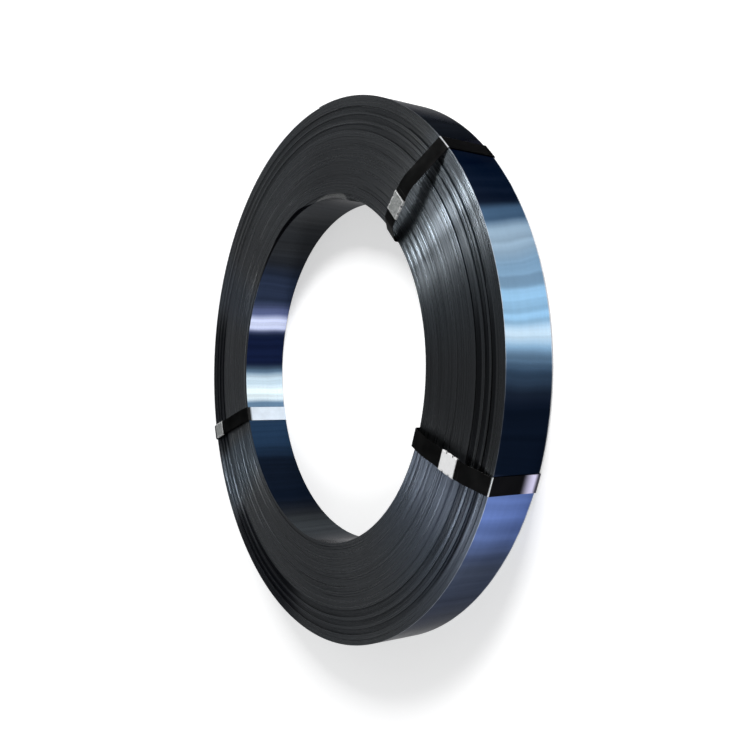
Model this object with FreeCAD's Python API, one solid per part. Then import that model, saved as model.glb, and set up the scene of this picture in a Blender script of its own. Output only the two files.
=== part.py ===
import FreeCAD, Part
import os
from math import atan2, cos, degrees, sqrt, tan
from FreeCAD import Vector

# A coil of blued steel strap, wound flat turn on turn and standing on its end.
# Its axis is Z and its front end looks up. It rests on the ties, which pass under it.
# The origin is on the floor, on the axis of the coil.

# Wound strap
bore_diameter = 406.4
strap_thickness = 0.9
strap_width = 57.4
turn_count = 126
edge_break = 0.3

# Groups of turns from the bore outward: turns in the group, and how far it sits below the
# front end, as a share of the deepest setback. A group that sits low in front stands out as
# far beneath.
deepest_setback = 1.0
turn_groups = [
    (5, 0.7),
    (21, 0.1),
    (18, 0.3),
    (21, 0.1),
    (18, 0.0),
    (8, 1.0),
    (5, 0.2),
    (6, 0.8),
    (4, 0.0),
    (6, 0.9),
    (14, 0.1),
]

# Outer end of the strap, in degrees clockwise from +Y, seen from above, as all angles here
tail_angle = -2.0

# Tie strap
tie_width = 19.0
tie_thickness = 0.5
tie_seat = 0.1
tie_corner_radius = 0.4
lap_overrun = 5.0

# Seal: a sheet sleeve bent round the lapped ends of a tie, with two crimp notches on each side
seal_length = 22.0
seal_sheet = 0.6
seal_clearance = 0.1
seal_mouth = 1.6
notch_width = 3.2
notch_spacing = 9.0
notch_bite = 1.3

# Upper right tie: slack, so its front run stands off the end of the coil as an arch.
# Rise and fall are the lengths of its slopes at the bore and at the rim, seen from above.
upper_angle = 46.0
upper_shoulder = 2.0
upper_bend = 4.0
upper_rise = 16.0
upper_inner_bow = 13.5
upper_inner_round = 10.0
upper_fall = 51.0
upper_outer_bow = 17.0
upper_outer_round = 38.0
upper_seal = 37.0

# Lower right tie: a little tighter
lower_angle = 108.6
lower_shoulder = 4.0
lower_bend = 3.0
lower_rise = 24.0
lower_inner_bow = 8.7
lower_inner_round = 20.0
lower_fall = 29.0
lower_outer_bow = 9.0
lower_outer_round = 18.0
lower_seal = 64.0

# Left tie: tighter still, with its seal near the rim
left_angle = -108.2
left_shoulder = 0.5
left_bend = 0.8
left_rise = 16.0
left_inner_bow = 3.4
left_inner_round = 20.0
left_fall = 6.4
left_outer_bow = 4.4
left_outer_round = 3.0
left_seal = 24.0

# Dependent sizes
bore_radius = bore_diameter / 2.0
outer_radius = bore_radius + turn_count * strap_thickness
coil_width = strap_width + deepest_setback
back_end = tie_seat + tie_thickness
front_end = back_end + coil_width
tie_wall = sqrt(bore_radius**2 - (tie_width / 2.0) ** 2) - tie_seat
tie_rim = outer_radius + tie_seat
sleeve_room = seal_clearance + seal_sheet
beyond = 2.0 * outer_radius
up = Vector(0, 0, 1)
centre = Vector(0, 0, 0)


def at(radial, height):
    """Point of the half plane that stands on the coil axis and runs out along +Y."""
    return Vector(0, radial, height)


def coil_section():
    """Cut face of the wound strap: every group of turns keeps the strap width and only shifts."""
    front = []
    back = []
    radius = bore_radius
    for turns, share in turn_groups:
        reach = radius + turns * strap_thickness
        top = front_end - share * deepest_setback
        foot = top - strap_width
        front += [at(radius, top), at(reach, top)]
        back += [at(radius, foot), at(reach, foot)]
        radius = reach
    rim_front = front.pop()
    rim_back = back.pop()
    front += [rim_front - at(edge_break, 0), rim_front - at(0, edge_break)]
    back += [rim_back - at(edge_break, 0), rim_back + at(0, edge_break)]
    return Part.Face(Part.makePolygon(front + back[::-1] + front[:1]))


def tail_relief():
    """Room beside the outer end of the strap: one thickness deep there, running out half a turn on."""
    half = Part.makeBox(beyond, 2 * beyond, beyond, Vector(-beyond, -beyond, -beyond / 2.0))
    shift = strap_thickness / 2.0
    inside = Part.makeCylinder(outer_radius - shift, beyond, Vector(0, -shift, -beyond / 2.0), up)
    relief = half.cut(inside)
    relief.rotate(centre, up, -tail_angle)
    return relief


def rounded(corners):
    """Closed wire through convex corners, each a point and the radius that rounds it."""
    starts = []
    arcs = []
    ends = []
    for i, (corner, radius) in enumerate(corners):
        come = (corner - corners[i - 1][0]).normalize()
        leave = (corners[(i + 1) % len(corners)][0] - corner).normalize()
        half_turn = come.getAngle(leave) / 2.0
        reach = radius * tan(half_turn)
        inward = (leave - come).normalize()
        middle = corner + inward * (radius / cos(half_turn) - radius)
        starts.append(corner - come * reach)
        ends.append(corner + leave * reach)
        arcs.append(Part.Arc(starts[-1], middle, ends[-1]).toShape())
    edges = []
    for i, arc in enumerate(arcs):
        edges.append(arc)
        edges.append(Part.LineSegment(ends[i], starts[(i + 1) % len(starts)]).toShape())
    return Part.Wire(edges)


def between(outer, inner):
    """Face between two closed wires."""
    return Part.Face(outer).cut(Part.Face(inner))


def along_width(face, width):
    """Prism of a section that lies in the half plane, half its width to either side."""
    face.translate(Vector(-width / 2.0, 0, 0))
    return face.extrude(Vector(width, 0, 0))


def sleeve_corners(off):
    """Corners of a box that runs a given distance off the two lapped straps, seen along them."""
    side = tie_width / 2.0 + off
    top = 2 * tie_thickness + off
    return [Vector(-side, 0, -off), Vector(side, 0, -off), Vector(side, 0, top), Vector(-side, 0, top)]


def seal_sleeve():
    """Seal lying along +Y round two straps whose underside is the plane z = 0, centred on the origin."""
    run = Vector(0, seal_length, 0)
    hollow = sleeve_corners(seal_clearance)
    outside = rounded([(corner, sleeve_room) for corner in sleeve_corners(sleeve_room)])
    section = between(outside, Part.makePolygon(hollow + hollow[:1]))
    sleeve = section.extrude(run)
    mouth_start = Vector(-seal_mouth / 2.0, 0, -2 * sleeve_room)
    sleeve = sleeve.cut(Part.makeBox(seal_mouth, seal_length, 2 * sleeve_room, mouth_start))
    sleeve.translate(run * -0.5)
    return sleeve


def crimp_notches():
    """Wedge punches that bite the seal and the straps in it from both sides."""
    punches = []
    tip = tie_width / 2.0 - notch_bite
    back = tip + 2 * (notch_bite + sleeve_room)
    reach = 4 * (sleeve_room + tie_thickness)
    for side in (-1, 1):
        for step in (-notch_spacing / 2.0, notch_spacing / 2.0):
            apex = Vector(side * tip, step, -reach)
            near = Vector(side * back, step - notch_width, -reach)
            far = Vector(side * back, step + notch_width, -reach)
            wedge = Part.Face(Part.makePolygon([apex, near, far, apex]))
            punches.append(wedge.extrude(up * (2 * reach)))
    return Part.makeCompound(punches)


def tie_and_seal(angle, shoulder, bend, inner_crest, outer_crest, seal_middle):
    """Tie round the section of the coil, with the seal on its front run between the two crests.
    A crest is its radial place, its height off the end of the coil and the radius that rounds it."""
    top = front_end + tie_seat
    foot = back_end - tie_seat
    inner = at(inner_crest[0], top + inner_crest[1])
    outer = at(outer_crest[0], top + outer_crest[1])
    loop = rounded([
        (at(tie_wall, top + shoulder), bend),
        (at(tie_wall, foot), tie_corner_radius),
        (at(tie_rim, foot), tie_corner_radius),
        (at(tie_rim, top), tie_corner_radius),
        (outer, outer_crest[2]),
        (inner, inner_crest[2]),
    ])
    tie = along_width(between(loop.makeOffset2D(tie_thickness), loop), tie_width)
    leg = outer - inner
    seat = inner + leg * ((seal_middle - inner.y) / leg.y)
    lap_length = seal_length + 2 * lap_overrun
    lap_start = Vector(-tie_width / 2.0, -lap_length / 2.0, tie_thickness)
    lap = Part.makeBox(tie_width, lap_length, tie_thickness, lap_start)
    seal = seal_sleeve()
    punches = crimp_notches()
    for shape in (lap, seal, punches):
        shape.rotate(centre, Vector(1, 0, 0), degrees(atan2(leg.z, leg.y)))
        shape.translate(seat)
    tie = tie.fuse(lap).removeSplitter().cut(punches)
    seal = seal.cut(punches)
    tie.rotate(centre, up, -angle)
    seal.rotate(centre, up, -angle)
    return tie, seal


coil = coil_section().revolve(centre, up, 360).cut(tail_relief())
upper = tie_and_seal(upper_angle, upper_shoulder, upper_bend,
                     (bore_radius + upper_rise, upper_inner_bow, upper_inner_round),
                     (outer_radius - upper_fall, upper_outer_bow, upper_outer_round),
                     bore_radius + upper_seal)
lower = tie_and_seal(lower_angle, lower_shoulder, lower_bend,
                     (bore_radius + lower_rise, lower_inner_bow, lower_inner_round),
                     (outer_radius - lower_fall, lower_outer_bow, lower_outer_round),
                     bore_radius + lower_seal)
left = tie_and_seal(left_angle, left_shoulder, left_bend,
                    (bore_radius + left_rise, left_inner_bow, left_inner_round),
                    (outer_radius - left_fall, left_outer_bow, left_outer_round),
                    outer_radius - left_seal)
pieces = {"coil": coil}
pieces["tie_upper_right"], pieces["seal_upper_right"] = upper
pieces["tie_lower_right"], pieces["seal_lower_right"] = lower
pieces["tie_left"], pieces["seal_left"] = left

os.makedirs("parts", exist_ok=True)
for name, shape in pieces.items():
    assert shape.isValid() and len(shape.Solids) == 1, name
    shape.Solids[0].exportStep("parts/" + name + ".step")
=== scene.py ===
from math import cos, pi, radians, sin

import bpy
import numpy as np
from mathutils import Matrix, Vector


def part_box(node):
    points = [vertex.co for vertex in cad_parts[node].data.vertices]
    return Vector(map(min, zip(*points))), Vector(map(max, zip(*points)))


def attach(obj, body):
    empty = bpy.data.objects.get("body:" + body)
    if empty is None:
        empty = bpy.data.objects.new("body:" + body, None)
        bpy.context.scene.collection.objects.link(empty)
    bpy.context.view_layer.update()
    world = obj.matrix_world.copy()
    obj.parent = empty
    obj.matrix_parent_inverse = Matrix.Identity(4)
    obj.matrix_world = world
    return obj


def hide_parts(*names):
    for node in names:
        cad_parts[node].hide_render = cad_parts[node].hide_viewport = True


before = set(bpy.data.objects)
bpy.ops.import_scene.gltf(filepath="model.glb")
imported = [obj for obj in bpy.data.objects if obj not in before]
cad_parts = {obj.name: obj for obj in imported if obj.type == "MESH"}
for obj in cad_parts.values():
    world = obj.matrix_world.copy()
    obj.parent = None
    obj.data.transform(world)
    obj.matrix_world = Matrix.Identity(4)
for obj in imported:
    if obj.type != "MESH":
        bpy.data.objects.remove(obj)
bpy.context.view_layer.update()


# Wound strap: one long blued steel strap, slit from cold rolled sheet, tempered blue and wound flat,
# turn on turn, by its own stiffness. Only its slit edges show on the two ends of the coil; its flat
# shows in the bore and round the rim. It starts at a cut end in the bore and stops at one on top.
BORE_RADIUS = 0.2032
STRAP = 0.0009
WIDTH = 0.0574
SHOULDER = 0.24 * STRAP
WHOLE_TURNS = 125

# one step of the winding is a degree
STEPS = 360

# the cut ends, in degrees clockwise from +Y, seen from above
INNER_CUT = 17
OUTER_CUT = -2

# groups of turns from the bore outward: turns in the group, and its setback from the front in millimetres
GROUPS = (
    (5, 0.7), (21, 0.1), (18, 0.3), (21, 0.1), (18, 0.0), (8, 1.0),
    (5, 0.2), (6, 0.8), (4, 0.0), (6, 0.9), (14, 0.1),
)

# how much of a turn one group takes to ease into the next, and the slow waves of the whole winding
GROUP_EASE = 0.16
WAVES = 26
WAVE_HEIGHT = 0.000045

coil_low, coil_high = (np.array(corner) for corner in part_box("coil"))
MIDDLE = (coil_low[2] + coil_high[2]) / 2
FRONT = coil_high[2]
rng = np.random.default_rng(11)


def sideways(step):
    """How far the strap lies below the front end at each step of its winding: it takes the setback of its
    group of turns, easing over in a sixth of a turn, plus slow waves whose lengths don't fit the turn."""
    turn = step / STEPS
    edges = np.cumsum([count for count, _ in GROUPS])[:-1]
    depths = np.array([depth for _, depth in GROUPS]) / 1000
    set_back = np.full(turn.shape, depths[0])
    for edge, change in zip(edges, np.diff(depths)):
        ramp = np.clip((turn - edge) / GROUP_EASE + 0.5, 0, 1)
        set_back += change * ramp * ramp * (3 - 2 * ramp)
    rates = rng.uniform(0.05, 3.4, WAVES)
    phases = rng.uniform(0, 2 * pi, WAVES)
    shares = rng.uniform(0.2, 1.0, WAVES)
    for rate, phase, share in zip(rates, phases, shares):
        set_back += WAVE_HEIGHT * share * np.sin(2 * pi * rate * turn + phase)
    return set_back


# the inner end lifts off inward over its first steps
LIFT = 0.0022
LIFT_STEPS = 13


def wound_points(step, radial, height):
    """Points at each winding step: the angle turns back one degree a step from the inner cut, and the
    radius grows one strap thickness a turn, from the bore plus a radial distance. The inner end is
    lifted inward by the square of what is left of its first steps. The height is as given."""
    angle = np.radians(INNER_CUT - 360.0 * step / STEPS)
    lift = LIFT * np.clip(1 - step / LIFT_STEPS, 0, 1) ** 2
    radius = BORE_RADIUS + STRAP * step / STEPS + radial - lift
    return np.stack((radius * np.sin(angle), radius * np.cos(angle), height), -1)


def quads(a, b, c, d):
    """Rows of four vertex numbers."""
    return np.stack((a, b, c, d), -1)


SHARP_ANGLE = radians(65)


def mesh_object(name, points, faces, kinds, materials):
    """Object at the origin with these points, quads and material numbers, smooth but for sharp corners."""
    mesh = bpy.data.meshes.new(name)
    mesh.vertices.add(len(points))
    mesh.vertices.foreach_set("co", points.astype(np.float32).ravel())
    mesh.loops.add(faces.size)
    mesh.loops.foreach_set("vertex_index", faces.astype(np.int32).ravel())
    mesh.polygons.add(len(faces))
    loop_starts = np.arange(0, faces.size, faces.shape[1], dtype=np.int32)
    mesh.polygons.foreach_set("loop_start", loop_starts)
    mesh.polygons.foreach_set("material_index", kinds.astype(np.int32))
    mesh.update(calc_edges=True)
    mesh.polygons.foreach_set("use_smooth", np.ones(len(faces), dtype=bool))
    mesh.set_sharp_from_angle(angle=SHARP_ANGLE)
    for material in materials:
        mesh.materials.append(material)
    item = bpy.data.objects.new(name, mesh)
    bpy.context.scene.collection.objects.link(item)
    return item


def new_material(name):
    """Empty node material, its node tree, and a Principled shader wired to the output."""
    material = bpy.data.materials.new(name)
    material.use_nodes = True
    tree = material.node_tree
    return material, tree, tree.nodes["Principled BSDF"]


def node(tree, kind, settings=None, inputs=None):
    """New node with its settings, and its inputs set to values or wired to sockets."""
    made = tree.nodes.new(kind)
    for key, value in (settings or {}).items():
        setattr(made, key, value)
    for key, value in (inputs or {}).items():
        if isinstance(value, bpy.types.NodeSocket):
            tree.links.new(value, made.inputs[key])
        else:
            made.inputs[key].default_value = value
    return made


def maths(tree, operation, a, b=0.5):
    """Output of one Math node."""
    return node(tree, "ShaderNodeMath", {"operation": operation}, {0: a, 1: b}).outputs[0]


def times(tree, a, b):
    """Product of two values or masks."""
    return maths(tree, "MULTIPLY", a, b)


def plus(tree, a, b):
    """Sum of two values."""
    return maths(tree, "ADD", a, b)


def minus(tree, a, b):
    """First value less the second."""
    return maths(tree, "SUBTRACT", a, b)


def either(tree, a, b):
    """The larger of two masks."""
    return maths(tree, "MAXIMUM", a, b)


def spread(tree, value, low, high, new_low, new_high, settings=None):
    """Output of a Map Range node, held inside the new range."""
    inputs = {0: value, 1: low, 2: high, 3: new_low, 4: new_high}
    return node(tree, "ShaderNodeMapRange", settings, inputs).outputs[0]


def eased(tree, value, low, high, new_low, new_high):
    """The same, along an S curve that starts and ends level."""
    settings = {"interpolation_type": "SMOOTHSTEP"}
    return spread(tree, value, low, high, new_low, new_high, settings)


def stretch(tree, degrees_on, rise, full, fade, gone):
    """Mask of a stretch by angle in degrees: it comes in from rise to full and goes from fade to gone."""
    come = eased(tree, degrees_on, rise, full, 0.0, 1.0)
    go = eased(tree, degrees_on, fade, gone, 1.0, 0.0)
    return times(tree, come, go)


def noise(tree, vector, scale, detail=2.0, roughness=0.5):
    """Value output of a Noise Texture in space, around 0.5."""
    inputs = {"Vector": vector, "Scale": scale, "Detail": detail, "Roughness": roughness}
    return node(tree, "ShaderNodeTexNoise", {}, inputs).outputs[0]


def noise_along(tree, value, scale, detail):
    """Value output of a Noise Texture along one value, around 0.5."""
    inputs = {"W": value, "Scale": scale, "Detail": detail}
    return node(tree, "ShaderNodeTexNoise", {"noise_dimensions": "1D"}, inputs).outputs[0]


def blend(tree, factor, a, b, way="MIX"):
    """Output of a colour Mix node."""
    settings = {"data_type": "RGBA", "blend_type": way}
    return node(tree, "ShaderNodeMix", settings, {0: factor, 6: a, 7: b}).outputs[2]


def brightened(tree, colour, level):
    """Colour times a level."""
    inputs = {0: colour, "Scale": level}
    return node(tree, "ShaderNodeVectorMath", {"operation": "SCALE"}, inputs).outputs[0]


def relief(tree, shader, height, strength, distance, under=None):
    """Wire a bump of this height into the shader's normal, over another normal if there is one."""
    inputs = {"Strength": strength, "Distance": distance, "Height": height}
    if under is not None:
        inputs["Normal"] = under
    tree.links.new(node(tree, "ShaderNodeBump", {}, inputs).outputs[0], shader.inputs["Normal"])


def object_place(tree):
    """Object coordinates."""
    return node(tree, "ShaderNodeTexCoord").outputs["Object"]


# round coordinates of the coil for its materials: height, radius and angle clockwise from +Y, and a
# vector for textures that are drawn out round the coil. It has the sine and cosine of the angle, which
# keep a texture whole where the angle jumps, and the height much enlarged beside them
HEIGHT_ENLARGED = 90.0
around = bpy.data.node_groups.new("coil_coordinates", "ShaderNodeTree")
for socket_name in ("Axial", "Radius", "Degrees"):
    around.interface.new_socket(socket_name, in_out="OUTPUT", socket_type="NodeSocketFloat")
around.interface.new_socket("Along", in_out="OUTPUT", socket_type="NodeSocketVector")
right_of, up_from, height_of = node(around, "ShaderNodeSeparateXYZ", {}, {0: object_place(around)}).outputs
angle = maths(around, "ARCTAN2", right_of, up_from)
squares = plus(around, times(around, right_of, right_of), times(around, up_from, up_from))
ring_place = {
    0: maths(around, "SINE", angle),
    1: times(around, height_of, HEIGHT_ENLARGED),
    2: maths(around, "COSINE", angle),
}
around_out = node(around, "NodeGroupOutput")
for socket_name, value in (
    ("Axial", height_of),
    ("Radius", maths(around, "SQRT", squares)),
    ("Degrees", times(around, angle, 180 / pi)),
    ("Along", node(around, "ShaderNodeCombineXYZ", {}, ring_place).outputs[0]),
):
    around.links.new(value, around_out.inputs[socket_name])

# flat of the strap: polished by the rolls and tempered in a lead bath. Its colour runs from near black
# through deep blue and violet to pale blue along the length, so the rim and the bore show other colours.
# These runs are painted reflections over the blue oxide: the pale and near-white bars are painted
# highlights, and the near-black runs are painted dark reflections
flat, tree, shader = new_material("strap_flat")
coords = node(tree, "ShaderNodeGroup", {"node_tree": around}).outputs
place = object_place(tree)

# what lies outside this radius is the rim, and the rest is the bore. The runs lean a little across the rim
BORE_ENDS = 0.26
on_rim = maths(tree, "GREATER_THAN", coords["Radius"], BORE_ENDS)
across = times(tree, minus(tree, coords["Axial"], MIDDLE), 2 / WIDTH)
lean = times(tree, times(tree, across, on_rim), spread(tree, coords["Degrees"], 45, 107, -2.0, 0.6))
lean = times(tree, lean, stretch(tree, coords["Degrees"], 10, 45, 107, 140))
waver = spread(tree, noise(tree, place, 14.0, 1.0), 0.3, 0.7, -0.5, 0.5)
degrees_on = plus(tree, plus(tree, coords["Degrees"], lean), waver)

# each run: the degrees at which it comes in, is full, fades and is gone, and its colour, a painted
# reflection
rim = (0.030, 0.034, 0.042, 1)
for limits, colour in (
    ((0, 30, 96, 109), (0.009, 0.011, 0.015, 1)),
    ((36, 58, 107, 109), (0.008, 0.012, 0.023, 1)),
    ((59.5, 62, 84, 95), (0.050, 0.098, 0.170, 1)),
    ((63, 67, 83.5, 90), (0.18, 0.30, 0.43, 1)),
    ((63, 66, 68, 72), (0.25, 0.35, 0.45, 1)),
    ((74.5, 77, 83.5, 87), (0.25, 0.44, 0.63, 1)),
    ((81, 83.5, 83.5, 86), (0.48, 0.62, 0.74, 1)),
    ((91, 96, 106.5, 109), (0.003, 0.006, 0.014, 1)),
    ((107, 110, 128, 156), (0.066, 0.082, 0.125, 1)),
    ((107, 110, 114, 127), (0.115, 0.180, 0.430, 1)),
    ((-105, -96, -60, -30), (0.010, 0.018, 0.050, 1)),
    ((-97, -92, -76, -66), (0.16, 0.26, 0.40, 1)),
):
    rim = blend(tree, stretch(tree, degrees_on, *limits), rim, colour)
# the bore's runs are painted reflections in the same way, and its near-white bars are painted highlights
bore = (0.022, 0.024, 0.027, 1)
for limits, colour in (
    ((-34, -10, 8, 30), (0.050, 0.052, 0.054, 1)),
    ((-24, -9, -2, 6), (0.078, 0.082, 0.085, 1)),
    ((-186, -180, -168, -152), (0.062, 0.070, 0.075, 1)),
    ((-160, -145, -60, -35), (0.005, 0.009, 0.019, 1)),
    ((-80, -70, -57, -44), (0.020, 0.030, 0.060, 1)),
    ((-130, -118, -112, -108), (0.016, 0.038, 0.080, 1)),
    ((-112, -109, -93, -86), (0.13, 0.22, 0.33, 1)),
    ((-104, -101, -93.8, -90.5), (0.56, 0.70, 0.80, 1)),
    ((-104, -101, -98.5, -95.5), (0.80, 0.92, 0.97, 1)),
    ((-91, -86.5, -79, -74), (0.006, 0.011, 0.038, 1)),
    ((-77, -73, -69.5, -62), (0.12, 0.15, 0.31, 1)),
    ((-75.7, -73, -71.3, -67.5), (0.64, 0.70, 0.94, 1)),
    ((40, 60, 130, 160), (0.010, 0.014, 0.026, 1)),
):
    bore = blend(tree, stretch(tree, degrees_on, *limits), bore, colour)

# a thin light line along both edges of the rim, partly worn bare steel and partly a painted highlight,
# weaker on the top and in the darkest runs
top = times(tree, on_rim, stretch(tree, degrees_on, 2, 18, 38, 48))
foot = times(tree, on_rim, stretch(tree, degrees_on, 132, 146, 158, 172))
darkest = either(tree, top, stretch(tree, degrees_on, 84, 92, 106, 112))
line_strength = minus(tree, 1.0, times(tree, darkest, 0.85))
scuff = spread(tree, noise(tree, place, 90.0, 3.0), 0.35, 0.6, 0.35, 0.9)
CORNER = 0.0001
for edge_height, inward in ((FRONT - CORNER, -1), (FRONT - WIDTH + CORNER, 1)):
    depth_in = times(tree, minus(tree, coords["Axial"], edge_height), inward)
    worn_and_highlit = times(tree, spread(tree, depth_in, 0.0007, 0.0010, 1.0, 0.0), scuff)
    # the light edge line: partly wear, partly a painted highlight
    rim = blend(tree, times(tree, worn_and_highlit, line_strength), rim, (0.50, 0.54, 0.60, 1))

# roll lines along the strap, soft spots, and faint bars across it where the bath wasn't even
oxide_and_reflections = blend(tree, on_rim, bore, rim)
spots = noise(tree, place, 26.0, 4.0)
bars = spread(tree, noise_along(tree, degrees_on, 0.45, 2.0), 0.3, 0.7, 0.82, 1.12)
run_on = {0: coords["Along"], 1: (3.0, 14.0, 3.0)}
drawn_out = node(tree, "ShaderNodeVectorMath", {"operation": "MULTIPLY"}, run_on).outputs[0]
lines = noise(tree, drawn_out, 1.0, 3.0, 0.6)
mottle = plus(tree, times(tree, spots, 0.4), times(tree, lines, 0.6))
oxide_and_reflections = brightened(tree, oxide_and_reflections, times(tree, bars, spread(tree, mottle, 0.3, 0.7, 0.90, 1.08)))
tree.links.new(oxide_and_reflections, shader.inputs["Base Color"])

# the top and the foot of the rim are duller than the rest, a painted shade that darkens their glancing
# reflection
dull = plus(tree, times(tree, top, 0.65), times(tree, foot, 0.3))
tree.links.new(minus(tree, 1.0, dull), shader.inputs["Metallic"])
glancing = blend(tree, top, (0.45, 0.45, 0.46, 1), (0.22, 0.22, 0.23, 1))
tree.links.new(glancing, shader.inputs["Specular Tint"])
shader.inputs["Specular IOR Level"].default_value = 0.0
mottle = plus(tree, times(tree, lines, 0.5), times(tree, spots, 0.5))
tree.links.new(spread(tree, mottle, 0.35, 0.65, 0.16, 0.26), shader.inputs["Roughness"])
relief(tree, shader, lines, 0.12, 0.0002)

# slit edges of the strap: dark, each turn a shade of its own in long streaks, lighter on their corners in
# the zones where the lamp's highlight falls, a painted highlight. Three recessed groups of turns and the
# innermost turns on one side are darker, a painted shade
edge, tree, shader = new_material("strap_edge")
coords = node(tree, "ShaderNodeGroup", {"node_tree": around}).outputs
turned = coords["Degrees"]
place = object_place(tree)
winding = node(tree, "ShaderNodeAttribute", {"attribute_name": "turn"}).outputs["Fac"]
ring_x, _, ring_z = node(tree, "ShaderNodeSeparateXYZ", {}, {0: coords["Along"]}).outputs
STREAKS_ROUND = 3.0
streak_place = {
    0: times(tree, ring_x, STREAKS_ROUND),
    1: times(tree, ring_z, STREAKS_ROUND),
    2: times(tree, coords["Radius"], 1 / STRAP),
}
streaks = noise(tree, node(tree, "ShaderNodeCombineXYZ", {}, streak_place).outputs[0], 0.42, 2.0, 0.6)
own_shade = noise_along(tree, winding, 3.3, 1.0)
streak = plus(tree, times(tree, streaks, 0.75), times(tree, own_shade, 0.25))
grain = noise(tree, place, 900.0, 2.0, 0.6)
cloud = noise(tree, place, 9.0, 3.0)

# the streaks stand out more in the zones where the lamp's highlight falls, a painted highlight
on_right = stretch(tree, turned, 106, 110, 124, 150)
on_left = stretch(tree, turned, -140, -128, -116, -110)
highlight_zones = either(tree, stretch(tree, turned, 38, 46, 66, 80), either(tree, on_right, on_left))
contrast = spread(tree, highlight_zones, 0.0, 1.0, 0.36, 1.0)
tone = plus(tree, times(tree, spread(tree, streak, 0.38, 0.62, -0.5, 0.5), contrast), 0.5)
steel = blend(tree, tone, (0.078, 0.082, 0.085, 1), (0.172, 0.179, 0.184, 1))
steel = blend(tree, spread(tree, cloud, 0.35, 0.75, 0.0, 0.4), steel, (0.120, 0.128, 0.136, 1))

# corners of the edges, told by their slope: lighter with the streaks in the highlight zones, a painted
# highlight, and darker on the upper right, a painted shade that damps the lamp's highlight, but for one
# narrow stretch with a painted glint
slopes = node(tree, "ShaderNodeNewGeometry").outputs["True Normal"]
steepness = node(tree, "ShaderNodeSeparateXYZ", {}, {0: slopes}).outputs[2]
LEVEL_ENOUGH = 0.93
corner = maths(tree, "LESS_THAN", maths(tree, "ABSOLUTE", steepness), LEVEL_ENOUGH)
bright = spread(tree, streak, 0.40, 0.58, 0.0, 1.0)
corner_highlight = times(tree, times(tree, corner, bright), times(tree, highlight_zones, 0.6))
steel = blend(tree, corner_highlight, steel, (0.160, 0.172, 0.184, 1))
wedge_shade = times(tree, times(tree, corner, 0.66), stretch(tree, turned, 46, 51, 61, 66.5))
steel = blend(tree, wedge_shade, steel, (0.010, 0.011, 0.013, 1))
glint = times(tree, corner, stretch(tree, turned, 53.5, 56.2, 58.2, 61.0))
glint = times(tree, glint, spread(tree, bright, 0.0, 1.0, 0.3, 1.0))
steel = blend(tree, glint, steel, (0.135, 0.145, 0.155, 1))

# lighter on the upper left, at the foot, and on the outer turns at the top
lighter_zones = either(tree, stretch(tree, turned, -50, -32, -20, 2), stretch(tree, turned, 120, 136, 156, 176))
outer = times(tree, stretch(tree, turned, -50, -30, 12, 30), spread(tree, winding, 64, 84, 0.0, 1.0))
lighter_zones = either(tree, lighter_zones, outer)
steel = brightened(tree, steel, spread(tree, lighter_zones, 0.0, 1.0, 1.0, 1.22))

# a painted shade from the wedge round to the lower right tie, and painted highlights, lighter and a little
# blue, in three other stretches
for limits, amount, colour in (
    ((60, 76, 105, 108), 0.45, (0.012, 0.014, 0.017, 1)),
    ((108, 111, 120, 156), 0.60, (0.150, 0.178, 0.235, 1)),
    ((-136, -124, -117, -113), 0.45, (0.125, 0.160, 0.200, 1)),
    ((-80, -69, -66, -54), 0.30, (0.110, 0.150, 0.210, 1)),
):
    steel = blend(tree, times(tree, stretch(tree, turned, *limits), amount), steel, colour)
# a cool tint over the highlight zones, part of the painted highlight
highlight_tint = either(tree, stretch(tree, turned, 38, 46, 74, 90), times(tree, highlight_zones, 0.5))
steel = blend(tree, highlight_tint, steel, (0.95, 1.02, 1.075, 1), "MULTIPLY")

# three recessed groups of turns are darker, a painted shade in their recess, most of all on the left,
# where all the outer turns are darker too, also a painted shade
low_left = stretch(tree, turned, -178, -162, -137, -129)
on_left = either(tree, low_left, stretch(tree, turned, -118, -112, -82, -70))
recess_shade = either(tree, on_left, times(tree, stretch(tree, turned, 70, 84, 120, 142), 0.7))
recess_shade = either(tree, recess_shade, 0.22)
# each recessed group is darkened, a painted shade
for first, last in ((83, 91), (96, 102), (106, 112)):
    group_starts = spread(tree, winding, first, first + 1, 0.0, 1.0)
    group_ends = spread(tree, winding, last - 1, last, 1.0, 0.0)
    low = times(tree, group_starts, group_ends)
    steel = blend(tree, times(tree, low, recess_shade), steel, (0.012, 0.013, 0.016, 1))
outer_left = times(tree, on_left, spread(tree, winding, 76, 92, 0.0, 0.80))
steel = blend(tree, outer_left, steel, (0.016, 0.018, 0.022, 1))

# the innermost turns on one side are painted near black, a painted shadow where they lie back, and a pale
# sliver of their edges shows beside the cut end
INMOST_TURNS = 7.0
layers = times(tree, winding, 1 / INMOST_TURNS)
inmost = minus(tree, stretch(tree, turned, -62, -26, -18, -4), layers)
steel = blend(tree, spread(tree, inmost, 0.0, 0.12, 0.0, 0.97), steel, (0.003, 0.003, 0.004, 1))
sliver = minus(tree, stretch(tree, turned, -10, 4, 12, 17), layers)
steel = blend(tree, spread(tree, sliver, 0.25, 0.40, 0.0, 1.0), steel, (0.34, 0.345, 0.34, 1))
tree.links.new(steel, shader.inputs["Base Color"])
shader.inputs["Metallic"].default_value = 1.0
shader.inputs["Specular Tint"].default_value = (0.5, 0.5, 0.53, 1)
tree.links.new(spread(tree, streak, 0.40, 0.62, 0.38, 0.24), shader.inputs["Roughness"])
relief(tree, shader, grain, 0.06, 0.0001)

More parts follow.
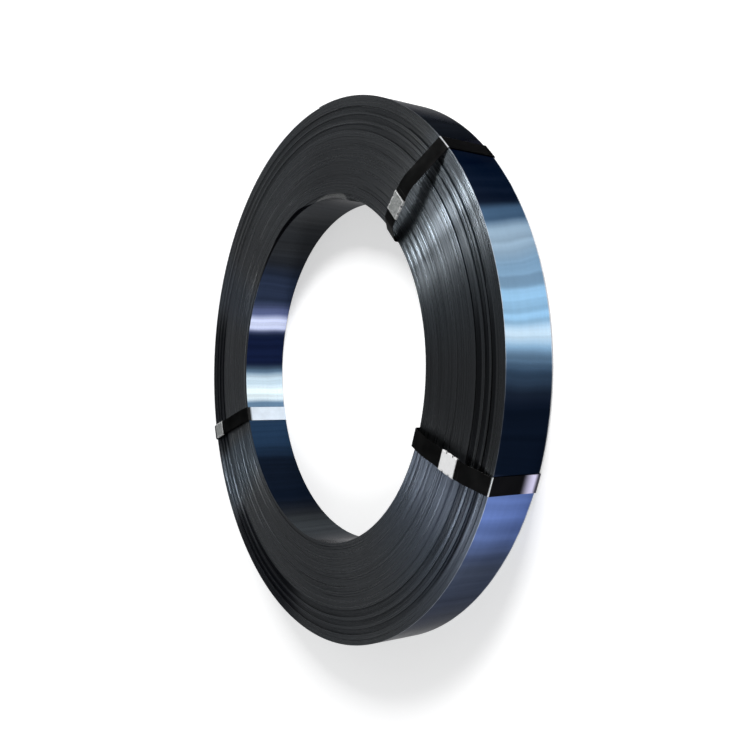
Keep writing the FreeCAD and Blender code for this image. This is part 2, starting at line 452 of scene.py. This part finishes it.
# heights of the winding, a value a step, for one turn more than there is, because the last turn ends in
# the groove outside it. On both ends of the coil a groove lies deeper than either turn beside it
GROOVE_DEPTH = 0.00020
GROOVE_WAVES = 30
GROOVE_WAVE_HEIGHT = 0.000014
LAST_STEP = WHOLE_TURNS * STEPS + (INNER_CUT - OUTER_CUT)
every = np.arange(LAST_STEP + STEPS + 1)
own = sideways(every.astype(float))
groove = np.full(len(every), GROOVE_DEPTH)
for rate, phase in zip(rng.uniform(0.3, 5.0, GROOVE_WAVES), rng.uniform(0, 2 * pi, GROOVE_WAVES)):
    groove += GROOVE_WAVE_HEIGHT * np.sin(2 * pi * rate * every / STEPS + phase)
beneath = np.concatenate((own[:STEPS], own[:-STEPS]))
heights = {
    "front": (FRONT - np.maximum(own, beneath) - groove, FRONT - own),
    "back": (FRONT - WIDTH - np.minimum(own, beneath) + groove, FRONT - WIDTH - own),
}


def wound_band(first, last):
    """Strap from one winding step to another, carried along the spiral: its points, quads, a 1 for each
    quad of the flat and a 0 for the rest, the turn that each quad is on, and the numbers of the points
    in the grooves. The profile of each end of the coil is three rows of points: the groove against the
    turn inside, and the two shoulders of the slit edge. It closes on the groove of the next turn."""
    groove_steps = np.arange(first, last + STEPS + 1)
    edge_steps = np.arange(first, last + 1)
    count = last - first
    points = []
    rows = {}
    total = 0
    for end, (groove_height, edge_height) in heights.items():
        for row, steps, radial, height in (
            ("groove", groove_steps, 0.0, groove_height),
            ("inner", edge_steps, SHOULDER, edge_height),
            ("outer", edge_steps, STRAP - SHOULDER, edge_height),
        ):
            points.append(wound_points(steps.astype(float), radial, height[steps]))
            rows[end, row] = total + np.arange(len(steps))
            total += len(steps)
    faces = []
    kinds = []
    turns_of = []
    for end in heights:
        this_groove, inner, outer = (rows[end, row] for row in ("groove", "inner", "outer"))
        next_groove = this_groove[STEPS:STEPS + count + 1]
        for near, far in ((this_groove[:count + 1], inner), (inner, outer), (outer, next_groove)):
            ring = (near[:-1], far[:-1], far[1:], near[1:])
            faces.append(quads(*(ring if end == "front" else ring[::-1])))
            kinds.append(np.zeros(count))
            turns_of.append((first + np.arange(count)) / STEPS)
    # the flat, on the innermost and on the outermost turn
    front = rows["front", "groove"]
    back = rows["back", "groove"]
    stop = count + STEPS
    faces.append(quads(front[:STEPS], front[1:STEPS + 1], back[1:STEPS + 1], back[:STEPS]))
    front_out = front[count:stop + 1]
    back_out = back[count:stop + 1]
    faces.append(quads(front_out[:-1], back_out[:-1], back_out[1:], front_out[1:]))
    kinds.append(np.ones(2 * STEPS))
    turns_of.append(np.full(2 * STEPS, first / STEPS))
    # the cut across the strap at the start and at the stop
    for cut in (0, count):
        front_cut, back_cut = (
            np.array([
                rows[end, "groove"][cut],
                rows[end, "inner"][cut],
                rows[end, "outer"][cut],
                rows[end, "groove"][cut + STEPS],
            ])
            for end in heights
        )
        cap = quads(front_cut[:-1], front_cut[1:], back_cut[1:], back_cut[:-1])
        faces.append(cap if cut else cap[:, ::-1])
        kinds.append(np.zeros(3))
        turns_of.append(np.full(3, (first + cut) / STEPS))
    lists = (points, faces, kinds, turns_of, (front, back))
    return tuple(np.concatenate(parts) for parts in lists)


# three meshes, to keep each within what a piece may hold. The grooves, and with them the corners at the
# bore and the rim, stay sharp
MESH_STEPS = 42 * STEPS
for number, first in enumerate(range(0, WHOLE_TURNS * STEPS, MESH_STEPS)):
    last = first + MESH_STEPS
    if last >= WHOLE_TURNS * STEPS:
        last = LAST_STEP
    points, faces, kinds, turns_of, groove_points = wound_band(first, last)
    turns = mesh_object("wound_turns_%d" % (number + 1), points, faces, kinds, (edge, flat))
    in_groove = np.zeros(len(points), dtype=bool)
    in_groove[groove_points] = True
    edges = turns.data.edges
    ends = np.empty(2 * len(edges), dtype=np.int32)
    edges.foreach_get("vertices", ends)
    sharp = np.empty(len(edges), dtype=bool)
    edges.foreach_get("use_edge_sharp", sharp)
    edges.foreach_set("use_edge_sharp", sharp | in_groove[ends.reshape(-1, 2)].all(axis=1))
    turn_marks = turns.data.attributes.new("turn", "FLOAT", "FACE")
    turn_marks.data.foreach_set("value", turns_of.astype(np.float32))
    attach(turns, "root")
    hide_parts("coil")


# Ties: three straps of black lacquered steel round the section of the coil, drawn up by hand and crimped.
# The CAD solids have the true shape, so they stay and only get their lacquer. Where a strap bends over
# the rim its lacquer is worn, with a painted highlight along the bend. The left tie's leg in the bore
# carries a painted reflection, the foot of the lower right one a painted highlight, and the legs on the
# rim a painted shade.
lacquer, tree, shader = new_material("tie_lacquer")
coords = node(tree, "ShaderNodeGroup", {"node_tree": around}).outputs
turned = coords["Degrees"]
axial = coords["Axial"]
place = object_place(tree)
grain = noise(tree, place, 420.0, 3.0, 0.6)
cloud = noise(tree, place, 60.0, 3.0)

# the legs on the rim and in the bore, told by their radius
RIM_LEG_STARTS = 0.3160
RIM_LEG_WHOLE = 0.3164
BORE_LEG_ENDS = 0.2036
outside = spread(tree, coords["Radius"], RIM_LEG_STARTS, RIM_LEG_WHOLE, 0.0, 1.0)
left_side = maths(tree, "LESS_THAN", turned, 0.0)
inside = times(tree, left_side, maths(tree, "LESS_THAN", coords["Radius"], BORE_LEG_ENDS))
inside = times(tree, inside, spread(tree, axial, FRONT - 0.006, FRONT - 0.003, 1.0, 0.0))
bend = times(tree, outside, spread(tree, axial, FRONT - 0.0006, FRONT - 0.0001, 0.0, 1.0))
bend = times(tree, bend, spread(tree, turned, 60, 90, 0.6, 0.9))
foot = times(tree, outside, maths(tree, "GREATER_THAN", turned, 90.0))
fade_up = eased(tree, axial, 0.007, 0.022, 1.0, 0.0)
foot = times(tree, foot, times(tree, fade_up, spread(tree, axial, 0.0030, 0.0065, 0.1, 1.0)))
patches = spread(tree, cloud, 0.35, 0.7, 0.0, 1.0)
black = blend(tree, patches, (0.020, 0.020, 0.020, 1), (0.030, 0.030, 0.030, 1))
# the legs on the rim are darker than the rest, a painted shade
black = blend(tree, times(tree, outside, 0.85), black, (0.003, 0.003, 0.004, 1))
bore_leg_reflection = times(tree, inside, spread(tree, cloud, 0.3, 0.7, 0.80, 1.0))
# the foot of the lower right tie: a painted highlight, pale violet
colour = blend(tree, times(tree, foot, 0.9), black, (0.78, 0.74, 0.97, 1))
# the left tie's leg in the bore: a painted reflection, pale blue
colour = blend(tree, bore_leg_reflection, colour, (0.76, 0.84, 0.93, 1))
# the bend over the rim: worn lacquer, and a painted highlight along it
colour = blend(tree, bend, colour, (0.66, 0.68, 0.70, 1))
tree.links.new(colour, shader.inputs["Base Color"])
shader.inputs["Metallic"].default_value = 1.0
shader.inputs["Specular Tint"].default_value = (0.42, 0.42, 0.42, 1)
tree.links.new(spread(tree, cloud, 0.3, 0.7, 0.28, 0.40), shader.inputs["Roughness"])
soft = node(tree, "ShaderNodeBevel", {"samples": 4}, {"Radius": 0.00035}).outputs[0]
relief(tree, shader, grain, 0.2, 0.00008, soft)


def finish_nodes(names, material):
    """Give CAD nodes one material in place of their own."""
    for name in names:
        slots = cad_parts[name].data.materials
        slots.clear()
        slots.append(material)


finish_nodes(("tie_upper_right", "tie_lower_right", "tie_left"), lacquer)


# Seals: sleeves of galvanised sheet bent round the lapped ends of each tie, and crimped with two notches
# a side that hold by their bite. The CAD solids stay. The zinc has its spangle and fine scratches, is
# lighter along the bends, partly wear and partly a painted highlight, and the lower right seal is painted
# near white, a painted highlight.
for zinc_name, names, low, high in (
    ("seal_zinc_dull", ("seal_upper_right", "seal_left"), (0.17, 0.18, 0.175, 1), (0.34, 0.35, 0.345, 1)),
    # the lower right seal's near white zinc is a painted highlight
    ("seal_zinc_painted_highlight", ("seal_lower_right",), (0.90, 0.90, 0.90, 1), (0.96, 0.96, 0.96, 1)),
):
    zinc, tree, shader = new_material(zinc_name)
    place = object_place(tree)
    spangle = node(tree, "ShaderNodeTexVoronoi", {}, {"Vector": place, "Scale": 620.0}).outputs["Color"]
    grey = node(tree, "ShaderNodeSeparateColor", {}, {0: spangle}).outputs[0]
    scratch = noise(tree, place, 700.0, 2.0)
    soft = node(tree, "ShaderNodeBevel", {"samples": 6}, {"Radius": 0.0022}).outputs[0]
    facing = {0: soft, 1: node(tree, "ShaderNodeNewGeometry").outputs["Normal"]}
    flatness = node(tree, "ShaderNodeVectorMath", {"operation": "DOT_PRODUCT"}, facing).outputs["Value"]
    mottle = plus(tree, times(tree, grey, 0.5), times(tree, scratch, 0.5))
    colour = blend(tree, spread(tree, mottle, 0.25, 0.75, 0.0, 1.0), low, high)
    # lighter along the bends: partly wear, partly a painted highlight
    colour = blend(tree, spread(tree, flatness, 0.93, 0.995, 0.9, 0.0), colour, (0.88, 0.88, 0.88, 1))
    tree.links.new(colour, shader.inputs["Base Color"])
    shader.inputs["Metallic"].default_value = 0.15
    tree.links.new(spread(tree, grey, 0.0, 1.0, 0.30, 0.44), shader.inputs["Roughness"])
    relief(tree, shader, scratch, 0.2, 0.00008, soft)
    finish_nodes(names, zinc)


# Floor: a wide pale plane under the coil, matt, with nothing fixed to it. It glows white for the rays
# that see the background, less under the coil, so that the coil's soft shadow stays.
FLOOR_HALF = 4
corners = [(x * FLOOR_HALF, y * FLOOR_HALF, 0) for x, y in ((-1, -1), (1, -1), (1, 1), (-1, 1))]
floor_mesh = bpy.data.meshes.new("floor")
floor_mesh.from_pydata(corners, [], [(0, 1, 2, 3)])
floor = bpy.data.objects.new("floor", floor_mesh)
bpy.context.scene.collection.objects.link(floor)
pale, tree, shader = new_material("floor_pale")
shader.inputs["Base Color"].default_value = (0.8, 0.8, 0.8, 1)
shader.inputs["Roughness"].default_value = 0.9
shader.inputs["Specular IOR Level"].default_value = 0.0


def background_rays(tree):
    """Two masks: rays from the camera, and rays that a surface mirrors or lets through."""
    path = node(tree, "ShaderNodeLightPath").outputs
    return path["Is Camera Ray"], either(tree, path["Is Glossy Ray"], path["Is Transmission Ray"])


from_camera, mirrored = background_rays(tree)
out_from_coil = node(tree, "ShaderNodeVectorMath", {"operation": "LENGTH"}, {0: object_place(tree)})
open_floor = spread(tree, out_from_coil.outputs["Value"], 0.35, 1.4, 0.45, 1.0)
strength = times(tree, either(tree, from_camera, mirrored), open_floor)
glow = node(tree, "ShaderNodeEmission", {}, {"Color": (1, 1, 1, 1), "Strength": strength})
both = node(tree, "ShaderNodeAddShader", {}, {0: shader.outputs[0], 1: glow.outputs[0]})
tree.links.new(both.outputs[0], tree.nodes["Material Output"].inputs["Surface"])
floor_mesh.materials.append(pale)


# Light: a soft box on the +Y side, a much weaker one across from it, and a room round them. The room is a
# white cove that turns into a darker ceiling, and the camera sees it white all over.
def soft_box(name, place, size, radiance):
    """Square area lamp at a place, facing the coil, its brightness given as the radiance of its face."""
    data = bpy.data.lights.new(name, "AREA")
    data.size = size
    data.energy = radiance * size * size * pi
    lamp = bpy.data.objects.new(name, data)
    lamp.location = place
    lamp.rotation_euler = Vector(place).to_track_quat("Z", "Y").to_euler()
    bpy.context.scene.collection.objects.link(lamp)


soft_box("key", (0.47, 1.33, 1.05), 0.5, 36.0)
soft_box("fill", (0.70, -1.20, 1.15), 0.6, 6.0)
world = bpy.data.worlds.new("room")
bpy.context.scene.world = world
world.use_nodes = True
tree = world.node_tree

# the cove gives way to the ceiling between these heights, each the sine of the angle above the horizon
COVE_ENDS = 0.10
CEILING_STARTS = 0.34
direction = node(tree, "ShaderNodeTexCoord").outputs["Generated"]
upward = node(tree, "ShaderNodeSeparateXYZ", {}, {0: direction}).outputs[2]
cove = eased(tree, upward, COVE_ENDS, CEILING_STARTS, 1.0, 0.0)
room = blend(tree, cove, (0.19, 0.195, 0.20, 1), (0.95, 0.95, 0.95, 1))
from_camera, mirrored = background_rays(tree)
white = either(tree, from_camera, times(tree, mirrored, cove))
tree.links.new(blend(tree, white, room, (1, 1, 1, 1)), tree.nodes["Background"].inputs["Color"])


# Camera: a metre away, at the photograph's angle to the coil, turned so that the coil's +Y is up in the
# picture. It looks at the middle of the coil's axis, and a small shift sets the framing.
CAMERA_DISTANCE = 0.9846
tilt = radians(58)
roll = radians(1.0)
camera_data = bpy.data.cameras.new("camera")
camera_data.sensor_width = 36.0
camera_data.lens = 38.93
camera_data.shift_x = 0.0467
camera_data.shift_y = -0.006
camera = bpy.data.objects.new("camera", camera_data)
away = Vector((sin(tilt), 0, cos(tilt)))
side = Vector((cos(tilt), 0, -sin(tilt)))
right = cos(roll) * side + sin(roll) * Vector((0, 1, 0))
top = -sin(roll) * side + cos(roll) * Vector((0, 1, 0))
stand = Matrix.Translation(Vector((0, 0, MIDDLE)) + away * CAMERA_DISTANCE)
camera.matrix_world = stand @ Matrix((right, top, away)).transposed().to_4x4()
bpy.context.scene.collection.objects.link(camera)
bpy.context.scene.camera = camera
bpy.context.scene.view_settings.view_transform = "Standard"
